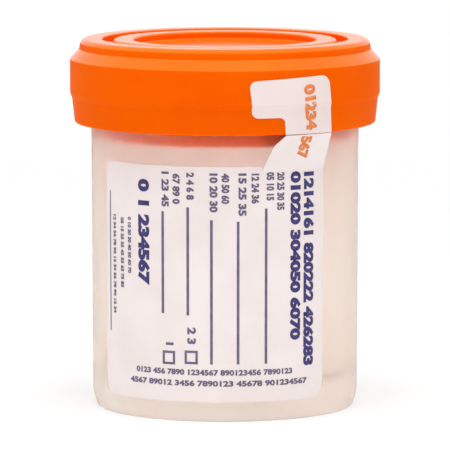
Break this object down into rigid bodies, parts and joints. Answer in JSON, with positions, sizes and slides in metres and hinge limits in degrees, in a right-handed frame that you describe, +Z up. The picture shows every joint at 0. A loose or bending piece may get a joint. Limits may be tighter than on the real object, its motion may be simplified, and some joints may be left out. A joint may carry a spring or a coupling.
{
  "type": "specimen container",
  "caption": "Round lidded specimen cup with a drafted wall, raised floor, deep-plug screw cap, loose seal ring and a wrap label with a tear tab over the cap.",
  "frame": {"origin": "centre of the resting plane under the cup", "axes": "+Z up along the cup's axis, -Y towards the middle of the label's print"},
  "size_m": [0.06, 0.06, 0.0713],
  "materials": {
    "cup_plastic": "translucent natural polypropylene, satin",
    "cap_plastic": "orange polypropylene, semi-gloss",
    "seal_rubber": "soft, matt",
    "label_film": "printed film, satin"
  },
  "bodies": {
    "cup_body": {"cup": "cup_plastic", "label": "label_film"},
    "seal_body": {"seal_ring": "seal_rubber"},
    "cap_body": {"screw_cap": "cap_plastic", "seal_tab": "label_film"}
  },
  "joints": [
    {"name": "cap_rise", "type": "slide", "parent": "cup_body", "child": "seal_body", "axis": [0, 0, 1], "range_m": [0, 0.0189]},
    {"name": "cap_turn", "type": "hinge", "parent": "seal_body", "child": "cap_body", "pos_m": [0, 0, 0.06], "axis": [0, 0, 1], "range_deg": [0, 811]}
  ],
  "couplings": [
    {"joint": "cap_turn", "follows": "cap_rise", "rad_per_m": 748}
  ]
}
